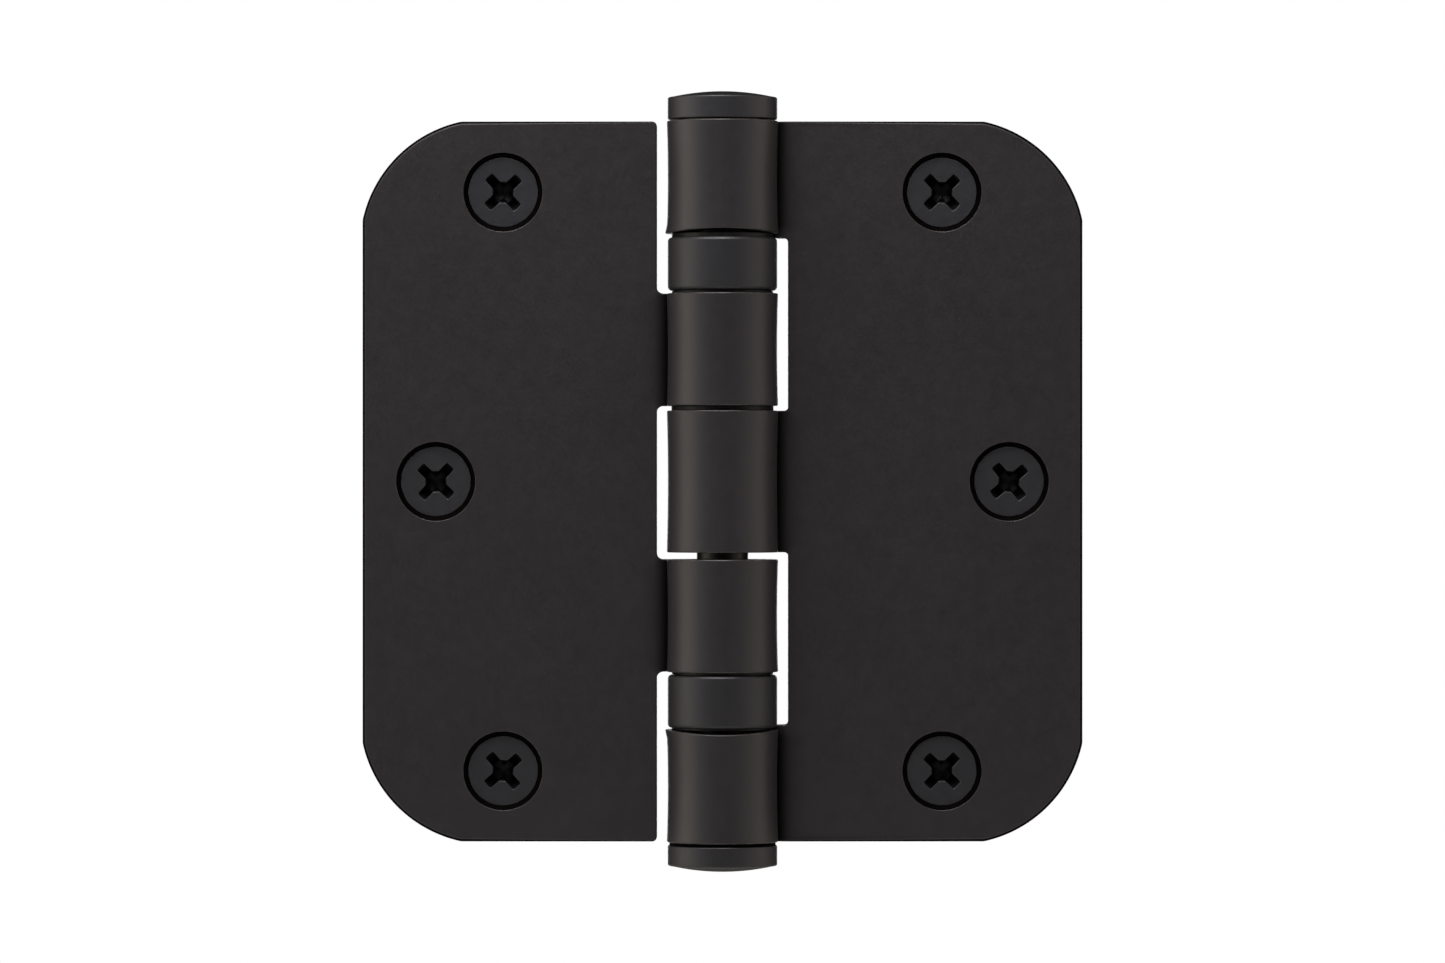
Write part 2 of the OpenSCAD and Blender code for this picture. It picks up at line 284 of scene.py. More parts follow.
# the bend from leaf to knuckle, and the roll round the pin, along the middle of the sheet
SWAGE_C = np.array([0.0, LEAF_FRONT + LEAF_T + SWAGE_R])
SWAGE_C[0] = math.sqrt((KNUCKLE_R + SWAGE_R) ** 2 - SWAGE_C[1] ** 2)
SWAGE_TURN = math.atan2(SWAGE_C[0], SWAGE_C[1])
SWAGE_MID = SWAGE_R + LEAF_T / 2
ROLL_MID = KNUCKLE_R - LEAF_T / 2
ROLL_START = math.pi / 2 - SWAGE_TURN
ROLL_SWEEP = math.radians(360 + ROLL_END) - ROLL_START
SWAGE_LEN = SWAGE_MID * SWAGE_TURN
TAB_END = SWAGE_C[0] - SWAGE_LEN - ROLL_MID * ROLL_SWEEP

# knuckles, slim in the middle and with bowed, flared ends
ROLLING = (SWAGE_LEN * 0.6, SWAGE_LEN + 5.0)    # where they come in, from the bend's start
TAB_MARGIN = 1.0            # a tab's form reaches this far past its ends
WAIST = 0.13
END_BOW = 0.5
BOW_REACH = 4.0             # how far along the knuckle the bow is felt
FLARE = 0.25
FLARE_REACH = 1.6
FLARE_AT, FLARE_SPREAD = 185, 28                # degrees round the roll
SKIRT_RISE = (4.9, 6.7)     # a skirt falls from its full drop to nothing between these, across the leaf

# the crevice beside the roll's end, and the shade painted on the leaf beside it
CREASE_X = (6.85, 8.9)
CREASE_DEPTH = 0.5
CREASE_SKIN = 0.3           # share of the sheet's thickness that dips
CREASE_ENDS = (-0.5, 0.2)   # the crease fades out between these, measured into a tab from its ends
SHADE_END = 10.5            # where the painted shade beside the crease begins
# strengths of the painted shade: a wide fade and a dark core at the crevice
SHADE_WIDE, SHADE_NARROW = 0.72, 0.06

# cut edges: rounded and painted dark with painted shade on the leaf, sharper and worn on the knuckles
EDGE_R = 0.5
EDGE_STEPS = 6
EDGE_GUARD = 0.2            # flat ring inside the rounded edge
TAB_EDGE_SHARE = 0.36       # the edge's radius on the knuckles, as a share of the leaf's
EDGE_CHANGE = (9.0, 11.5)   # and the stretch of X over which it changes
CUT_EDGE_SHADE = -0.3
RIM_FROM, RIM_LEAN = 0.45, 0.2                  # least outward lean of the edge's painted shade, and forward lean where it is darkest
RIM_CHANGE = (7.2, 8.6)     # stretch of X over which the edge turns from worn to painted shade

# outline
CORNER_STEP, FILLET_STEP, TIP_STEP = 2.0, 10, 15    # degrees between points
CORNER_TRIM = 0.6           # degrees cut off each end of a corner's arc
KINK_GUARD = 0.15           # how far a straight edge stops short of the corner's arc
NOTCH_GUARD = 0.2           # and short of a knuckle's side
TAB_TIP_R = 0.6
ROOT_GUARD, TIP_GUARD = 0.05, 0.85              # ends of a tab's side that get no points of their own
SAME_POINT = 1e-4

# points inside the sheet
TAB_STEP = 0.33             # along a tab
BEND_GUARD = 0.02           # the first row lies this far before the bend
GRID_STEP = 1.1             # up a tab
GRID_COLUMNS = [10.5, 9.9, 9.3, 8.9, 8.6, 8.3]     # on the flat beside a tab
GRID_GUARD = 0.5            # kept free at a tab's end

# screw holes
HOLE_SIDES = 96
SINK_MARGIN, HOLE_MARGIN = 0.3, 0.4             # flat rings round a hole, on the front and the back face
SEAT = (0.03, LEAF_T - 0.3)                     # depths between which the countersink is painted dark as painted shade
IN_HOLE = 0.999             # triangles nearer a hole's centre than this share of its radius are left out
MERGE = 1e-7                # points nearer than this are one point


def smooth(value, low, high):
    """0 below low, 1 above high, and a smooth step between."""
    t = np.clip((value - low) / (high - low), 0.0, 1.0)
    return t * t * (3 - 2 * t)


def knuckle_form(z, around, rolling, tabs):
    """How far knuckles stand out from a plain roll, the slope of that along Z, and their ends' bow."""
    waist = np.zeros_like(z)
    slope = np.zeros_like(z)
    lift = np.zeros_like(z)
    face = np.where(np.sin(around) < 0, np.sin(around) ** 2, 0.0)
    flared = FLARE * np.exp(-((np.degrees(around) - FLARE_AT) / FLARE_SPREAD) ** 2)
    for low, high, bow_low, bow_high in tabs:
        inside = (z >= low - TAB_MARGIN) & (z <= high + TAB_MARGIN)
        half = (high - low) / 2
        t = np.clip((z - (low + high) / 2) / half, -1.0, 1.0)
        waist = np.where(inside, -WAIST * (1 - t ** 2), waist)
        slope = np.where(inside, WAIST * 2 * t / half, slope)
        near_low = 1 - smooth(z, low, low + BOW_REACH)
        near_high = smooth(z, high - BOW_REACH, high)
        lift = np.where(inside, rolling * face * (bow_low * near_low - bow_high * near_high), lift)
        flare = flared * (
            (bow_low > 0) * np.clip(1 - (z - low) / FLARE_REACH, 0, 1) ** 2
            + (bow_high > 0) * np.clip(1 - (high - z) / FLARE_REACH, 0, 1) ** 2
        )
        waist = waist + np.where(inside, flare, 0.0)
    return waist, slope, lift


def crease(u, z, in_front, tabs):
    """How deep the front face dips beside a knuckle's roll, the slope of that, and how much shade is painted
    on it.
    """
    beside = np.zeros_like(u)
    fade_from, fade_to = CREASE_ENDS
    for low, high, _, _ in tabs:
        above = smooth(z, low + fade_from, low + fade_to)
        below = smooth(-z, -high + fade_from, -high + fade_to)
        beside = np.maximum(beside, above * below)
    beside = beside * in_front
    reach = CREASE_X[1] - CREASE_X[0]
    share = np.clip((CREASE_X[1] - u) / reach, 0.0, 1.0)
    near = np.clip((SHADE_END - u) / (SHADE_END - CREASE_X[0]), 0.0, 1.0)
    dip = CREASE_DEPTH * share ** 3 * beside
    dip_slope = 3 * CREASE_DEPTH * share ** 2 / reach * beside
    shade = (SHADE_WIDE * near ** 1.5 + SHADE_NARROW * share ** 3) * beside
    return dip, dip_slope, shade


def bend(u, z, w, normal, tabs):
    """Bends flat sheet into place. u runs across the leaf, z up it and w from its front to its back face.

    normal is the surface's normal along (u, z, w). Past the swage's start the sheet follows the swage's arc
    and then the roll round the pin. tabs lists (low, high, low bow, high bow). The third result is how much
    shade is painted on the surface in the crease beside the roll.
    """
    past = SWAGE_C[0] - u
    turn = np.clip(past / SWAGE_MID, 0.0, SWAGE_TURN)
    around = ROLL_START + np.maximum(past - SWAGE_LEN, 0.0) / ROLL_MID
    flat, rolled = past <= 0, past > SWAGE_LEN
    rolling = smooth(past, *ROLLING)
    depth = w / LEAF_T

    waist, slope, lift = knuckle_form(z, around, rolling, tabs)
    waist, slope = waist * depth * rolling, slope * depth * rolling
    dip, dip_slope, shade = crease(u, z, (depth < CREASE_SKIN) & (past < SWAGE_LEN), tabs)
    w = w + dip

    swage_r = SWAGE_R + LEAF_T - w
    roll_r = BORE_R + w + waist
    x = np.where(flat, u, np.where(
        rolled, roll_r * np.cos(around), SWAGE_C[0] - (swage_r - waist) * np.sin(turn)))
    y = np.where(flat, LEAF_FRONT + w, np.where(
        rolled, roll_r * np.sin(around), SWAGE_C[1] - (swage_r - waist) * np.cos(turn)))
    to_back = np.stack([
        np.where(rolled, np.cos(around), np.sin(turn)),
        np.where(rolled, np.sin(around), np.cos(turn)),
    ], axis=1)
    across = np.stack([
        np.where(rolled, np.sin(around), np.cos(turn)),
        np.where(rolled, -np.cos(around), -np.sin(turn)),
    ], axis=1)
    normal = normal + np.outer(dip_slope * (normal[:, 2] < 0), (-1.0, 0.0, 0.0))
    bent = np.stack([
        normal[:, 0] * across[:, 0] + normal[:, 2] * to_back[:, 0],
        normal[:, 0] * across[:, 1] + normal[:, 2] * to_back[:, 1],
        normal[:, 1] - slope * normal[:, 2] * (normal[:, 2] > 0),
    ], axis=1)
    return np.stack([x, y, z + lift], axis=1), bent, shade


def tab_stops():
    """Where rows of points cross a tab: close together round the roll."""
    near = SWAGE_C[0] + BEND_GUARD
    return np.linspace(near, TAB_END, int((near - TAB_END) / TAB_STEP))


def tab_side(height, start_u, outward, skirt):
    """A tab's side from its root at start_u to its end. skirt is how far the root drops outwards."""
    us = tab_stops()
    us = us[(us < start_u - ROOT_GUARD) & (us > TAB_END + TIP_GUARD)]
    us = np.concatenate([[start_u], us])
    step = 0.01
    drop = skirt * smooth(us, *SKIRT_RISE)
    slope = skirt * (smooth(us + step, *SKIRT_RISE) - smooth(us - step, *SKIRT_RISE)) / (2 * step)
    points = np.stack([us, height + outward * drop], axis=1)
    normals = np.stack([-slope, np.full(len(us), outward)], axis=1)
    return points, normals / np.linalg.norm(normals, axis=1, keepdims=True)


def notch_corner(edge_x, side):
    """The leaf's top (side 1) or bottom (side -1) edge, and its rounded corner at the notch."""
    edge = [(edge_x, side * HALF_H), (NOTCH_X + TAB_TIP_R, side * HALF_H)]
    centre = (NOTCH_X + TAB_TIP_R, side * (HALF_H - TAB_TIP_R))
    if side > 0:
        return [line_points(edge[0], edge[1]), arc_points(centre, TAB_TIP_R, 90, 180, TIP_STEP)]
    return [arc_points(centre, TAB_TIP_R, 180, 270, TIP_STEP), line_points(edge[1], edge[0])]


def leaf_outline(tabs, fillet):
    """The flat sheet's outline, anticlockwise seen from the front.

    tabs lists (low, high, low skirt, high skirt) from the top down. A skirt of None is the leaf's own edge.
    """
    reach = CORNER_R - CORNER_PUSH
    kink = math.degrees(math.acos(reach / CORNER_R))
    first, last = kink + CORNER_TRIM, 90 - kink - CORNER_TRIM
    right, top = LEAF_W - reach, HALF_H - reach
    edge_x = right + CORNER_R * math.sin(math.radians(kink)) - KINK_GUARD
    edge_z = top + CORNER_R * math.sin(math.radians(kink)) - KINK_GUARD
    runs = [
        arc_points((right, -top), CORNER_R, -last, -first, CORNER_STEP),
        line_points((LEAF_W, -edge_z), (LEAF_W, edge_z)),
        arc_points((right, top), CORNER_R, first, last, CORNER_STEP),
    ]
    if tabs[0][3] is not None:
        runs += notch_corner(edge_x, 1)
    else:
        runs.append(line_points((edge_x, HALF_H), (NOTCH_X + NOTCH_GUARD, HALF_H)))
    for low, high, low_skirt, high_skirt in tabs:
        root = NOTCH_X
        if high_skirt is not None:
            root = NOTCH_X - fillet
            runs.append(arc_points((root, high + high_skirt + fillet), fillet, 0, -90, FILLET_STEP))
        runs.append(tab_side(high, root, 1, high_skirt or 0))
        runs.append(arc_points((TAB_END + TAB_TIP_R, high - TAB_TIP_R), TAB_TIP_R, 90, 180, TIP_STEP))
        inner = high - low - 2 * TAB_TIP_R
        stops = np.linspace(0, 1, int(inner / GRID_STEP) + 1)[1:-1]
        runs.append(line_points((TAB_END, high - TAB_TIP_R), (TAB_END, low + TAB_TIP_R), stops))
        runs.append(arc_points((TAB_END + TAB_TIP_R, low + TAB_TIP_R), TAB_TIP_R, 180, 270, TIP_STEP))
        root = NOTCH_X if low_skirt is None else NOTCH_X - fillet
        points, normals = tab_side(low, root, -1, low_skirt or 0)
        runs.append((points[::-1], normals[::-1]))
        if low_skirt is not None:
            runs.append(arc_points((root, low - low_skirt - fillet), fillet, 90, 0, FILLET_STEP))
    if tabs[-1][2] is not None:
        runs += notch_corner(edge_x, -1)
    else:
        runs.append(line_points((NOTCH_X + NOTCH_GUARD, -HALF_H), (edge_x, -HALF_H)))

    points, normals = (np.vstack(part) for part in zip(*runs))
    keep = np.linalg.norm(points - np.roll(points, 1, axis=0), axis=1) > SAME_POINT
    return points[keep], normals[keep]


def fill_flat(outer, holes, inner):
    """Triangles over a flat region with round holes. holes are (centre, radius, ring points)."""
    verts, edges = [], []
    for loop in [outer] + [ring for _, _, ring in holes]:
        first = len(verts)
        verts += [Vector(p) for p in loop]
        edges += [(first + i, first + (i + 1) % len(loop)) for i in range(len(loop))]
    verts += [Vector(p) for p in inner]
    faces = [list(range(len(outer)))]
    made, _, triangles, origins, _, _ = geometry.delaunay_2d_cdt(verts, edges, faces, 1, MERGE)
    where = [min(o) if o else None for o in origins]
    kept = []
    for triangle in triangles:
        middle = sum((np.array(made[i]) for i in triangle), np.zeros(2)) / len(triangle)
        if any(np.linalg.norm(middle - centre) < radius * IN_HOLE for centre, radius, _ in holes):
            continue
        kept.append(tuple(where[i] for i in triangle))
    return kept


def rim_section(xs):
    """Section of a leaf's cut edge, as (outward shift, w), with normals and weights.

    The weights have a row for each point of the section and a column for each x of the outline. Away from the
    knuckles the outward-facing part of the edge is painted dark as painted shade, and the rest keeps its
    wear.
    """
    inset = EDGE_R + EDGE_GUARD
    shape = [(-inset, 0, 0), (0, 0, EDGE_R), (0, LEAF_T, EDGE_R), (-inset, LEAF_T, 0)]
    points, normals, wear = rounded(shape, steps=EDGE_STEPS)
    # painted shade on the edge: -1 where it faces forwards as well as outwards
    rim = np.where(normals[:, 1] < -RIM_LEAN, -1.0, CUT_EDGE_SHADE)
    edge_shade = np.where(normals[:, 0] > RIM_FROM, rim, wear)
    return points, normals, wear[:, None] + np.outer(edge_shade - wear, smooth(xs, *RIM_CHANGE))


def hole_section():
    """Section of a countersunk hole, as (outward shift, w), with normals and weights. Its seat is painted
    dark as painted shade.
    """
    points, normals, wear = rounded([
        (-SINK_R - SINK_MARGIN, 0, 0), (-SINK_R, 0, 0.1),
        (-HOLE_R, (SINK_R - HOLE_R) / SINK_SLOPE, 0.12),
        (-HOLE_R, LEAF_T, 0.14), (-HOLE_R - HOLE_MARGIN, LEAF_T, 0)
    ], steps=4)
    in_seat = (points[:, 1] > SEAT[0]) & (points[:, 1] < SEAT[1])
    return points, normals, np.where(in_seat, -1.0, wear)


def grid_points(tabs):
    """Points inside the sheet on and beside its tabs, close enough together to follow the bends."""
    stops = tab_stops()[1:]
    stops = np.concatenate([GRID_COLUMNS, stops[stops > TAB_END + GRID_GUARD]])
    grid = []
    for low, high, _, _ in tabs:
        count = int((high - low - 2 * GRID_STEP) / GRID_STEP) + 1
        rows = np.linspace(low + GRID_STEP, high - GRID_STEP, count)
        grid += [(u, z) for z in rows for u in stops]
    return np.array(grid)


def build_leaf(tabs, holes, fillet):
    """A leaf in its own half: rolled knuckles, countersunk holes and rounded edges all round."""
    outline, out = leaf_outline(tabs, fillet)
    skin = Skin()
    bows = {SKIRT_DROP: END_BOW}
    bent_tabs = [
        (low, high, bows.get(low_skirt, 0.0), bows.get(high_skirt, 0.0))
        for low, high, low_skirt, high_skirt in tabs
    ]

    def add(flat_points, w, flat_normals, weight):
        u, z = flat_points[:, 0], flat_points[:, 1]
        depth = np.broadcast_to(w, len(u)).astype(float)
        points, normals, shade = bend(u, z, depth, flat_normals, bent_tabs)
        # the crease's painted shade pulls the weight towards -1, the painted shade colour
        return skin.row(points, normals, weight - shade)

    def wall(path, ray, section, scale):
        """Rows along a closed line from the front face to the back, one for each point of a section.

        scale shrinks the section's corners at each point of the line.
        """
        rows = []
        for (shift, w), (out_part, back_part), weight in zip(*section):
            flat_normals = np.column_stack([ray * out_part, np.full(len(ray), back_part)])
            place = path + ray * (shift * scale)[:, None]
            height = w * scale if w < LEAF_T / 2 else LEAF_T - (LEAF_T - w) * scale
            rows.append((place, add(place, height, flat_normals, weight)))
        for (_, front), (_, back) in zip(rows, rows[1:]):
            skin.band(back, front)
        return rows[0], rows[-1]

    scale = TAB_EDGE_SHARE + (1 - TAB_EDGE_SHARE) * smooth(outline[:, 0], *EDGE_CHANGE)
    front, back = wall(outline, out, rim_section(outline[:, 0]), scale)
    angles = -np.arange(HOLE_SIDES) * 2 * math.pi / HOLE_SIDES
    ray = -np.stack([np.cos(angles), np.sin(angles)], axis=1)
    fronts, backs = [], []
    for hole in holes:
        centre = np.array(hole)
        path = np.tile(centre, (HOLE_SIDES, 1))
        hole_front, hole_back = wall(path, ray, hole_section(), np.ones(HOLE_SIDES))
        fronts.append((centre, SINK_R + SINK_MARGIN, hole_front))
        backs.append((centre, HOLE_R + HOLE_MARGIN, hole_back))

    grid = grid_points(tabs)
    for loop, rings, w, back_part in ((front, fronts, 0.0, -1.0), (back, backs, LEAF_T, 1.0)):
        numbers = list(loop[1])
        for _, _, ring in rings:
            numbers += ring[1]
        flat_normals = np.tile([0.0, 0.0, back_part], (len(grid), 1))
        numbers += add(grid, w, flat_normals, 0.0)
        for triangle in fill_flat(loop[0], [(c, r, ring[0]) for c, r, ring in rings], grid):
            face = tuple(numbers[i] for i in triangle)
            skin.faces.append(face if back_part < 0 else tuple(reversed(face)))
    return skin


# ---------------------------------------------------------------- screws

HEAD_R = 4.3
HEAD_LAND = 0.05            # height of the head's straight rim between its rounded corners
HEAD_RIM = 0.1              # depths below this are the head's worn rim
SEATED = LEAF_T - 0.6       # and from there to this they are painted dark as painted shade, where the countersink hides them
SHANK_R = 2.15
THREAD_PITCH = 1.814
THREAD_DEPTH = 0.65
THREAD_FROM = 8.6
THREAD_LEAD = 0.4           # the thread's rows begin this much before it
THREAD_FADE = 1.2           # and it has its full depth this much after its start
THREAD_STEP = 0.11
THREAD_END = 0.02           # and end this much before the tip
THREAD_WEAR = 0.8
WORN_FROM = 0.93            # share of the crest's radius from which it is worn
RIB_SHARE = 0.27            # half the rib's width, as a share of the pitch
RIB_POWER = 0.9             # how much the rib's sides bow
CREST_SHARE = 0.97
ROOT_TAPER, CREST_TAPER = 0.85, 0.5             # powers by which the thread tapers to the tip
TIP_H = 5.0
LEAST_R = 0.05              # smallest radius that slopes are worked out with

# cross recess: how far its wings and its core reach at the head's flat and at its floor
RECESS_H = 2.3
RECESS_R, RECESS_FLOOR_R = 2.68, 1.15
CORE_R, CORE_FLOOR_R = 1.3, 0.7
WING_W = 1.22
WING_TAPER = 0.12
WING_CORNER, CORE_CORNER = 0.22, 0.18
RECESS_SIDES = 144
SIDE_CROWDING = 0.055       # most that a side is moved along the rim, in radians
RIM_H = 0.09

# depth, growth, how far the normal leans inwards, and edge weight of the recess's rows, from its floor up.
# The negative weights paint the recess dark as painted shade
RECESS_ROWS = [
    (RECESS_H - 0.25, -0.12, 0.55, -0.6),
    (RECESS_H - 0.5, 0.0, 0.9, -1.0),
    (RECESS_H * 0.5, 0.0, 0.9, -1.0),
    (RIM_H, 0.0, 0.9, -0.8),
    (RIM_H * 0.3, RIM_H * 0.3, 0.7, 0.3),
    (0.0, RIM_H, 0.0, 0.4),
    (0.0, RIM_H + 0.18, 0.0, 0.0),
]


def soft_min(a, b, k):
    """Smaller of two lengths, with a change-over rounded over a length of about k."""
    h = np.clip(0.5 + 0.5 * (b - a) / k, 0.0, 1.0)
    return b * (1 - h) + a * h - k * h * (1 - h)


def recess_radius(angles, depth, grow):
    """How far the cross recess reaches at each angle at a depth below the head's flat."""
    share = depth / RECESS_H
    tip = RECESS_R + (RECESS_FLOOR_R - RECESS_R) * share + grow
    core = CORE_R + (CORE_FLOOR_R - CORE_R) * share + grow
    half = WING_W / 2 * (1 - WING_TAPER * share) + grow
    aside = np.abs((np.degrees(angles) + 45) % 90 - 45)
    blade = half / np.maximum(np.sin(np.radians(aside)), 0.02)
    reach = soft_min(blade, np.full_like(angles, tip), WING_CORNER)
    return -soft_min(-reach, np.full_like(angles, -core), CORE_CORNER)


def thread_radius(angles, depth, length):
    """How far the thread reaches at each angle: one sharp rib that runs out on the shank and at the tip."""
    left = np.clip((length - depth) / TIP_H, 0.0, 1.0)
    root = (SHANK_R - THREAD_DEPTH) * left ** ROOT_TAPER
    crest = root + THREAD_DEPTH * left ** CREST_TAPER * CREST_SHARE
    start = smooth(np.asarray(depth, float), THREAD_FROM - THREAD_LEAD, THREAD_FROM + THREAD_FADE)
    phase = ((depth - THREAD_FROM) / THREAD_PITCH - angles / (2 * math.pi)) % 1.0
    rib = np.clip(1 - np.abs(phase - 0.5) / RIB_SHARE, 0.0, 1.0) ** RIB_POWER
    threaded = root + (crest - root) * rib
    return SHANK_R * (1 - start) + threaded * start


def build_screw(head_y, tip_y, x, z, turn):
    """Countersunk wood screw along +Y with a cross recess, a plain shank and a helical thread."""
    skin = Skin()
    length = tip_y - head_y
    base = np.arange(RECESS_SIDES) * 2 * math.pi / RECESS_SIDES
    warp = base - SIDE_CROWDING * np.sin(4 * base)
    cross = warp + math.radians(turn)

    def ring(radii, depth, normals, weight):
        """A row round the screw at a depth."""
        points = [x + radii * np.cos(cross), np.full(len(cross), head_y) + depth, z + radii * np.sin(cross)]
        return skin.row(np.stack(points, axis=1), normals, weight)

    def recess_ring(depth, grow, lean, weight):
        radii = recess_radius(warp, depth, grow)
        step = 0.004
        change = recess_radius(warp + step, depth, grow) - recess_radius(warp - step, depth, grow)
        change = change / (2 * step)
        out = np.stack([np.cos(cross) * radii + np.sin(cross) * change,
                        np.sin(cross) * radii - np.cos(cross) * change], axis=1)
        out /= np.linalg.norm(out, axis=1, keepdims=True)
        forward = np.full(len(out), -math.sqrt(1 - lean ** 2))
        return ring(radii, depth, np.stack([-out[:, 0] * lean, forward, -out[:, 1] * lean], axis=1), weight)

    # head, cone and shank, from the recess's floor outwards and then back along the screw
    recess_rows = [recess_ring(*row) for row in RECESS_ROWS]
    # the recess's floor is painted dark as painted shade
    floor = skin.row([(x, head_y + RECESS_H, z)], [(0, -1, 0)], -0.4)[0]
    skin.fan(recess_rows[0], floor)
    for inner, outer in zip(recess_rows, recess_rows[1:]):
        skin.band(outer, inner)

    section = rounded([
        (HEAD_R - 0.5, 0, 0), (HEAD_R, 0, 0.1), (HEAD_R, HEAD_LAND + 0.1, 0.05),
        (SHANK_R, HEAD_LAND + (HEAD_R - SHANK_R) / SINK_SLOPE, 0.5), (SHANK_R, THREAD_FROM - THREAD_LEAD, 0)
    ], steps=4)
    rows = []
    for (radius, depth), (out_part, back_part), weight in zip(*section):
        # below the worn rim the cone is painted dark with painted shade down to SEATED
        if depth >= HEAD_RIM:
            weight = -1.0 if depth < SEATED else 0.0
        normals = np.stack([np.cos(cross) * out_part, np.full(len(cross), back_part),
                            np.sin(cross) * out_part], axis=1)
        rows.append(ring(np.full(len(cross), radius), depth, normals, weight))
    skin.band(rows[0], recess_rows[-1])
    for front, back in zip(rows, rows[1:]):
        skin.band(back, front)

    last = rows[-1]
    step = 0.01
    for depth in np.arange(THREAD_FROM - THREAD_LEAD, length - THREAD_END, THREAD_STEP)[1:]:
        radii = thread_radius(cross, depth, length)
        along = thread_radius(cross, depth + step, length) - thread_radius(cross, depth - step, length)
        along = along / (2 * step)
        around = thread_radius(cross + step, depth, length) - thread_radius(cross - step, depth, length)
        around = around / (2 * step)
        around /= np.maximum(radii, LEAST_R)
        normals = np.stack([np.cos(cross) + np.sin(cross) * around, -along,
                            np.sin(cross) - np.cos(cross) * around], axis=1)
        crest = smooth(radii, radii.max() * WORN_FROM, radii.max())
        row = ring(radii, depth, normals, crest * THREAD_WEAR)
        skin.band(row, last)
        last = row
    point = skin.row([(x, tip_y, z)], [(0, 1, 0)], 1.0)[0]
    skin.fan(last, point, flip=True)
    return skin


# ---------------------------------------------------------------- materials

class Nodes:
    """Short hand for building a material's node tree."""

    def __init__(self, name):
        self.material = bpy.data.materials.new(name)
        self.material.use_nodes = True
        self.tree = self.material.node_tree
        self.shader = self.tree.nodes["Principled BSDF"]
        self.coords = self.tree.nodes.new("ShaderNodeTexCoord").outputs["Object"]

    def add(self, kind, inputs, output=0, **settings):
        """A node with its inputs set or linked. Returns one of its outputs."""
        node = self.tree.nodes.new(kind)
        for key, value in settings.items():
            setattr(node, key, value)
        for key, value in inputs.items():
            self.feed(node.inputs[key], value)
        return node.outputs[output]

    def feed(self, socket, value):
        if isinstance(value, bpy.types.NodeSocket):
            self.tree.links.new(value, socket)
        else:
            socket.default_value = value

    def noise(self, size, detail=3.0, roughness=0.55, stretch=(1, 1, 1)):
        """Noise from 0 to 1 with features about size millimetres across."""
        scaled = self.add("ShaderNodeMapping", {
            "Vector": self.coords, "Scale": tuple(s / (size * MM) for s in stretch)}, vector_type="POINT")
        return self.add("ShaderNodeTexNoise", {
            "Vector": scaled, "Scale": 1.0, "Detail": detail, "Roughness": roughness})

    def math(self, operation, a, b=0.5, c=0.5):
        return self.add("ShaderNodeMath", {0: a, 1: b, 2: c}, operation=operation)

    def vary(self, value, noise, amount):
        """A value with noise about its middle added to it."""
        return self.math("MULTIPLY_ADD", self.math("SUBTRACT", noise, 0.5), amount, value)

    def ramp(self, value, low, high, out_low=0.0, out_high=1.0, smooth_step=True):
        return self.add("ShaderNodeMapRange", {
            "Value": value, "From Min": low, "From Max": high, "To Min": out_low, "To Max": out_high},
            interpolation_type="SMOOTHSTEP" if smooth_step else "LINEAR")

    def mix(self, share, a, b):
        node = self.tree.nodes.new("ShaderNodeMix")
        node.data_type = "RGBA"
        self.feed(node.inputs[0], share)
        self.feed(node.inputs[6], a)
        self.feed(node.inputs[7], b)
        return node.outputs[2]

    def set(self, **inputs):
        for key, value in inputs.items():
            self.feed(self.shader.inputs[key.replace("_", " ")], value)

    def bump(self, height, distance):
        """Bump of a height from 0 to 1 that stands distance millimetres proud."""
        return self.add("ShaderNodeBump", {"Height": height, "Distance": distance * MM, "Strength": 1.0})


COATING_GRAIN = 0.006       # millimetres
METAL_GRAIN = 0.0008
RUBBED = (0.3375, 1.0125)   # edge weights, made patchy, between which the coating wears through
SPECK_COLOUR = (0.07, 0.065, 0.06)
# near-black colour of the painted shade in hollows, creases and shaded edges
PAINTED_SHADE_COLOUR = (0.0032, 0.0028, 0.0026)
TURNED = (1, 1, 2.4)        # marks run round the pin's axis


def rgba(colour):
    return (*colour, 1.0)


def coating(name, dark, light, worn, rough, gloss_tint, streak=(1, 1, 1)):
    """Satin black coating: fine grained, uneven in tone, rubbed thin on edges, and painted near black where
    shade is painted into hollows, creases and shaded edges.
    """
    n = Nodes(name)
    cloud = n.noise(14.0, detail=3.0)
    mottle = n.noise(1.6, detail=4.0, stretch=streak)
    fine = n.noise(0.32, detail=3.0, stretch=streak)
    grit = n.noise(0.11, detail=2.0)
    tone = n.math("MULTIPLY_ADD", cloud, 0.55, n.math("MULTIPLY", mottle, 0.45))
    colour = n.mix(n.ramp(tone, 0.28, 0.72), rgba(dark), rgba(light))
    edge = n.add("ShaderNodeAttribute", {}, output=2, attribute_name="edge_wear")
    patchy = n.noise(0.9, detail=4.0, roughness=0.65)
    rubbed = n.math("MULTIPLY", n.math("MAXIMUM", edge, 0.0), n.ramp(patchy, 0.38, 0.62, 0.35, 1.25))
    rubbed = n.ramp(rubbed, *RUBBED)
    colour = n.mix(rubbed, colour, rgba(worn))
    speck = n.ramp(n.noise(0.45, detail=1.0, roughness=0.4), 0.78, 0.81)
    colour = n.mix(n.math("MULTIPLY", speck, 0.3), colour, rgba(SPECK_COLOUR))
    roughness = n.vary(n.vary(rough, mottle, 0.1), fine, 0.2)
    roughness = n.math("MULTIPLY_ADD", rubbed, -0.08, roughness)
    # negative weights paint shade: near black, rougher and metallic
    painted_shade = n.ramp(edge, 0.0, -1.0, smooth_step=False)
    colour = n.mix(painted_shade, colour, rgba(PAINTED_SHADE_COLOUR))
    roughness = n.math("MULTIPLY_ADD", painted_shade, 0.3, roughness)
    height = n.math("MULTIPLY_ADD", fine, 0.7, n.math("MULTIPLY", grit, 0.3))
    n.set(Base_Color=colour, Roughness=roughness, Normal=n.bump(height, COATING_GRAIN),
          Specular_IOR_Level=0.5, Specular_Tint=rgba(gloss_tint), Metallic=painted_shade)
    return n.material


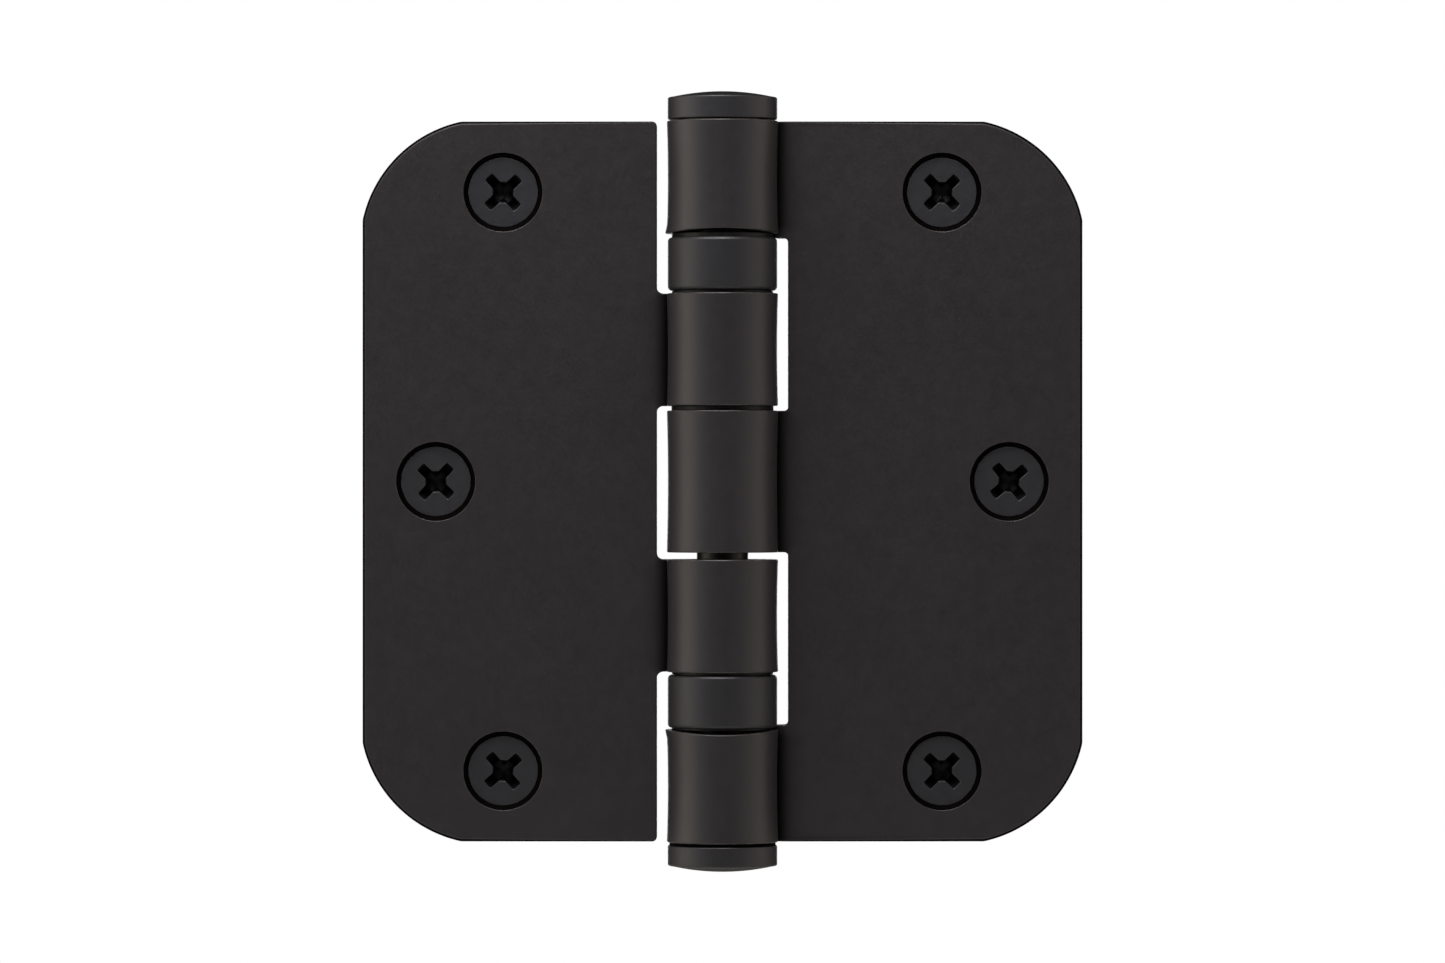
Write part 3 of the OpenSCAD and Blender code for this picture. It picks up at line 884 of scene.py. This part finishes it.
def bare_metal(name, dark, light, rough, scratch=(1, 1, 1)):
    """Ground or polished metal with fine directional marks and an oil-stained tone."""
    n = Nodes(name)
    cloud = n.noise(4.0, detail=3.0)
    marks = n.noise(0.12, detail=3.0, stretch=scratch)
    stain = n.noise(0.9, detail=4.0)
    tone = n.math("MULTIPLY_ADD", cloud, 0.6, n.math("MULTIPLY", stain, 0.4))
    colour = n.mix(n.ramp(tone, 0.38, 0.62), rgba(dark), rgba(light))
    roughness = n.vary(n.vary(rough, marks, 0.18), stain, 0.12)
    n.set(Base_Color=colour, Roughness=roughness, Normal=n.bump(marks, METAL_GRAIN), Metallic=1.0)
    return n.material


LEAF_COATING = coating(
    "black_leaf", dark=(0.0156, 0.0142, 0.0157), light=(0.0184, 0.0167, 0.0184), worn=(0.05, 0.045, 0.041),
    rough=0.44, gloss_tint=(1.0, 0.95, 0.98))
TIP_COATING = coating(
    "black_tip", dark=(0.0124, 0.0119, 0.0137), light=(0.0150, 0.0143, 0.0163), worn=(0.024, 0.0226, 0.0232),
    rough=0.47, gloss_tint=(0.98, 0.955, 1.0), streak=TURNED)
PIN_COATING = coating(
    "black_pin", dark=(0.012, 0.0116, 0.0114), light=(0.017, 0.0165, 0.016), worn=(0.14, 0.12, 0.09),
    rough=0.38, gloss_tint=(1.0, 0.97, 0.95), streak=TURNED)
SCREW_COATING = coating(
    "black_screw", dark=(0.0144, 0.0140, 0.0165), light=(0.0184, 0.0179, 0.0205), worn=(0.06, 0.06, 0.063),
    rough=0.46, gloss_tint=(0.97, 0.96, 1.0))
STEEL = bare_metal(
    "bearing_steel", dark=(0.018, 0.018, 0.0185), light=(0.032, 0.032, 0.033), rough=0.5, scratch=(1, 1, 6))
BALL_STEEL = bare_metal("ball_steel", dark=(0.68, 0.68, 0.69), light=(0.8, 0.8, 0.82), rough=0.1)
CAGE_BRASS = bare_metal(
    "cage_brass", dark=(0.58, 0.40, 0.15), light=(0.72, 0.54, 0.24), rough=0.3, scratch=(1, 1, 5))


# ---------------------------------------------------------------- the hinge's pieces

# (low, high, low skirt, high skirt) of each tab from the top down, None at the leaf's own edge
JAMB_TABS = [
    (END_KNUCKLE[0], END_KNUCKLE[1], SKIRT_DROP, None),
    (-MIDDLE_TOP, MIDDLE_TOP, 0.0, 0.0),
    (-END_KNUCKLE[1], -END_KNUCKLE[0], None, SKIRT_DROP),
]
DOOR_TABS = [(*UPPER_DOOR_KNUCKLE, 0.0, 0.0), (*LOWER_DOOR_KNUCKLE, 0.0, 0.0)]
ROWS = ("top", "middle", "bottom")
CROSS_TURNS = {"jamb": (44, 40, 46), "door": (-47, -43, -49)}
DOME_INSET, DOME_LIFT, DOME_RISE = 0.6, 0.1, 0.77   # a tip's dome starts inside and above the top of its wall


def make_leaves():
    places = []
    for row in ROWS:
        low, high = span(f"jamb_screw_{row}")
        middle = (low + high) / 2
        places.append((middle[0], middle[2]))
    jamb = build_leaf(JAMB_TABS, places, JAMB_FILLET)
    door = build_leaf(DOOR_TABS, places, DOOR_FILLET).mirrored(0)
    piece("jamb_leaf_plate", "right_leaf", jamb, LEAF_COATING)
    piece("door_leaf_plate", "left_leaf", door, LEAF_COATING)


def make_screws():
    for side in ("jamb", "door"):
        for row, turn in zip(ROWS, CROSS_TURNS[side]):
            node = f"{side}_screw_{row}"
            low, high = span(node)
            middle = (low + high) / 2
            skin = build_screw(low[1], high[1], middle[0], middle[2], turn)
            piece(f"{side}_wood_screw_{row}", node, skin, SCREW_COATING)


def make_pin():
    head_h, head_r, tap_r, tap_depth = 1.2, 5.6, 1.6, 7.0
    radius = 3.175
    low, high = pin_low[2], pin_high[2]
    section = [
        (0, low, 0), (radius - 0.5, low, 0.1), (radius, low + 0.5, 0.2), (radius, high - head_h, 0.05),
        (head_r, high - head_h, 0.12), (head_r, high, 0.15), (tap_r, high, 0.12),
        (tap_r, high - tap_depth, 0.1), (0, high - tap_depth, 0)
    ]
    piece("barrel_pin", "hinge_pin", turned(section, sides=96), PIN_COATING)


def button(inside, seat, top):
    """A domed button from its inner section, the height of its lower rim and its top."""
    wall_r, wall_top = cap_high[0], top - DOME_RISE
    dome_start = (wall_r - DOME_INSET, wall_top + DOME_LIFT)
    section = inside + [(wall_r, seat, 0.14), (wall_r, wall_top, 0.22), (*dome_start, 0)]
    return turned(section, dome=(dome_start, top))


def make_tips():
    """The top tip, with a stud that screws into the pin, and the bottom tip, with a grooved neck painted dark
    as painted shade.
    """
    seat, recess_top = HALF_H + 0.18, HALF_H + 1.24
    recess_r, stud_r, stud_low = 5.7, 1.55, cap_low[2]
    skin = button([
        (0, stud_low, 0), (stud_r, stud_low, 0.2), (stud_r, recess_top, 0.1),
        (recess_r, recess_top, 0.1), (recess_r, seat, 0.1)
    ], seat, cap_high[2])
    piece("top_button_tip", "top_cap", skin, TIP_COATING)

    seat = HALF_H + 0.4
    neck_r, stem_r, stem_end = 6.55, BORE_R - 0.02, -plug_high[2]
    skin = button([
        (0, stem_end, 0), (stem_r, stem_end, 0.3), (stem_r, HALF_H, 0.05),
        (neck_r, HALF_H + 0.01, 0.05), (neck_r, seat, 0.05)
    ], seat, -plug_low[2]).mirrored(2)
    # the groove under the bottom tip's seat is painted dark as painted shade
    in_groove = [HALF_H < -point[2] < seat + 0.02 for point in skin.points]
    skin.wear = [-1.0 if inside else wear for inside, wear in zip(in_groove, skin.wear)]
    piece("bottom_button_tip", "bottom_cap", skin, TIP_COATING)


def make_shells():
    for name, side in (("upper", 1), ("lower", -1)):
        corners = np.array(span(f"{name}_bearing_shell"))
        low, high = sorted(corners[:, 2] * side)
        outer = corners[1, 0]
        bore, lip_r, lip_h, edge = outer - 0.65, 5.1, 0.6, 0.5
        skin = turned([
            (bore, low, 0.12), (outer, low, edge), (outer, high, edge), (lip_r, high, 0.12),
            (lip_r, high - lip_h, 0.08), (bore, high - lip_h, 0.15)
        ], closed=True)
        skin = skin if side > 0 else skin.mirrored(2)
        piece(f"{name}_bearing_cover", f"{name}_bearing_shell", skin, TIP_COATING)


def make_washer():
    (_, _, low), (outer, _, high) = span("middle_washer")
    bore, edge = 3.275, 0.08
    section = [(bore, low, edge), (outer, low, edge), (outer, high, edge), (bore, high, edge)]
    piece("middle_washer_ring", "middle_washer", turned(section, closed=True), STEEL)


def finish_inner_parts():
    """The races, cages and balls keep their CAD shape and get their own metals."""
    looks = {"race": STEEL, "cage": CAGE_BRASS, "balls": BALL_STEEL}
    for name, obj in frame["nodes"].items():
        for word, material in looks.items():
            if name.endswith(word):
                obj.data.materials.clear()
                obj.data.materials.append(material)


# ---------------------------------------------------------------- studio

WHITE = (1, 1, 1)
LEFT_TINT = (1.0, 0.95, 0.83)
RIGHT_TINT = (1.0, 0.935, 0.81)
TOP_TINT = (1.0, 0.78, 0.56)
# name, azimuth and elevation in degrees, distance and size in metres, watts, tint
LIGHTS = [
    ("left_front_box", -50, 10, 0.8, (0.45, 0.7), 0.38, WHITE),
    ("left_side_box", -75, 8, 0.8, (0.45, 0.7), 1.65, LEFT_TINT),
    ("left_rear_box", -98, 8, 0.8, (0.4, 0.7), 1.3, LEFT_TINT),
    ("right_front_box", 50, 12, 0.8, (0.45, 0.7), 0.36, WHITE),
    ("right_side_box", 75, 12, 0.8, (0.45, 0.7), 0.8, RIGHT_TINT),
    ("right_rear_box", 98, 12, 0.8, (0.4, 0.7), 0.95, RIGHT_TINT),
    ("near_fill", -18, 60, 0.32, (0.26, 0.2), 1.24, WHITE),
    ("overhead_box", 0, 86, 0.9, (0.7, 0.6), 1.0, TOP_TINT),
    ("back_fill", 180, 0, 1.0, (0.6, 0.24), 1.8, WHITE),
]
AMBIENT = 0.02              # strength of the white world, which the camera sees at full strength
FLOOR_SIDES, FLOOR_R, FLOOR_Z = 96, 0.62, -0.135
CAMERA_Y = -0.9
LENS = 181.8                # fitted to the size of the leaves in the photograph
SENSOR = 36.0


def emitter(name, azimuth, elevation, distance, size, watts, tint):
    """A soft rectangular light aimed at the hinge. Azimuth 0 is in front of it, 90 on its right."""
    a, e = math.radians(azimuth), math.radians(elevation)
    place = Vector((math.sin(a) * math.cos(e), -math.cos(a) * math.cos(e), math.sin(e))) * distance
    data = bpy.data.lights.new(name, "AREA")
    data.shape, data.size, data.size_y = "RECTANGLE", size[0], size[1]
    data.energy, data.color = watts, tint
    light = bpy.data.objects.new(name, data)
    light.location = place
    light.rotation_euler = (-place).to_track_quat("-Z", "Y").to_euler()
    light.visible_camera = False
    bpy.context.scene.collection.objects.link(light)


def make_world():
    """White where the camera sees it, and almost no light of its own."""
    world = bpy.data.worlds.new("studio")
    bpy.context.scene.world = world
    world.use_nodes = True
    tree = world.node_tree
    backdrop = tree.nodes["Background"]
    backdrop.inputs["Color"].default_value = rgba(WHITE)
    seen = tree.nodes.new("ShaderNodeLightPath").outputs["Is Camera Ray"]
    strength = tree.nodes.new("ShaderNodeMapRange")
    tree.links.new(seen, strength.inputs["Value"])
    strength.inputs["To Min"].default_value = AMBIENT
    strength.inputs["To Max"].default_value = 1.0
    tree.links.new(strength.outputs["Result"], backdrop.inputs["Strength"])


def make_floor():
    mesh = bpy.data.meshes.new("floor")
    turns = [2 * math.pi * i / FLOOR_SIDES for i in range(FLOOR_SIDES)]
    ring = [(FLOOR_R * math.cos(turn), FLOOR_R * math.sin(turn), FLOOR_Z) for turn in turns]
    mesh.from_pydata(ring, [], [tuple(range(FLOOR_SIDES))])
    floor = bpy.data.objects.new("floor", mesh)
    paper = Nodes("pale_floor")
    fibre = paper.noise(2.0, detail=3.0)
    paper.set(Base_Color=paper.mix(fibre, rgba((0.8, 0.8, 0.8)), rgba((0.84, 0.84, 0.84))), Roughness=0.9)
    mesh.materials.append(paper.material)
    bpy.context.scene.collection.objects.link(floor)


def make_camera():
    data = bpy.data.cameras.new("camera")
    data.sensor_width = SENSOR
    data.lens = LENS
    data.clip_start, data.clip_end = 0.05, 20.0
    camera = bpy.data.objects.new("camera", data)
    camera.location = (0.0, CAMERA_Y, 0.0)
    camera.rotation_euler = (math.radians(90), 0, 0)
    bpy.context.scene.collection.objects.link(camera)
    bpy.context.scene.camera = camera


# ---------------------------------------------------------------- the whole scene

make_leaves()
make_screws()
make_pin()
make_tips()
make_shells()
make_washer()
finish_inner_parts()

for light in LIGHTS:
    emitter(*light)
make_world()
make_floor()
bpy.context.scene.view_settings.view_transform = "Standard"
make_camera()
